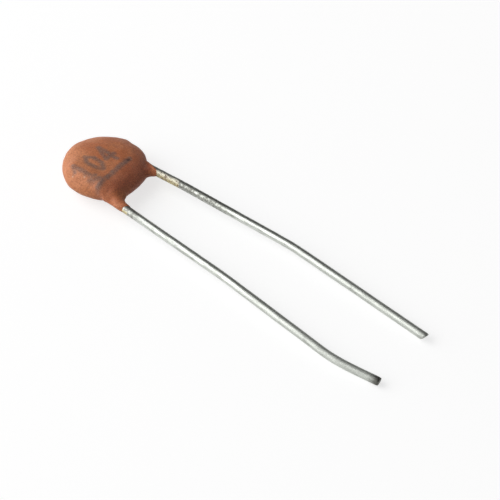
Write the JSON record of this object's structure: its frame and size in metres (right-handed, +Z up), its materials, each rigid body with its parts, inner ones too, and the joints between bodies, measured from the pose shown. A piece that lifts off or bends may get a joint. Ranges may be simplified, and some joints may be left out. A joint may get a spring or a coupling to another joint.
{
  "type": "ceramic disc capacitor",
  "caption": "Small round ceramic disc capacitor dipped in orange-brown resin, with long radial wire leads that are slightly bent and spread; it lies on its side.",
  "frame": {"origin": "under the middle of the whole part, on the surface it lies on", "axes": "+X along the leads and away from the round body, +Y towards the right lead, +Z up"},
  "size_m": [0.0301, 0.0071, 0.0022],
  "materials": {
    "resin": "satin dipped resin, orange-brown",
    "ceramic": "matte fired ceramic",
    "silver": "matte fired silver",
    "solder": "dull solder",
    "tinned_wire": "tinned, slightly dull"
  },
  "bodies": {
    "root": {"coating": "resin", "ceramic_disc": "ceramic", "upper_electrode": "silver", "lower_electrode": "silver", "upper_solder": "solder", "lower_solder": "solder", "left_lead": "tinned_wire", "right_lead": "tinned_wire"}
  },
  "joints": []
}
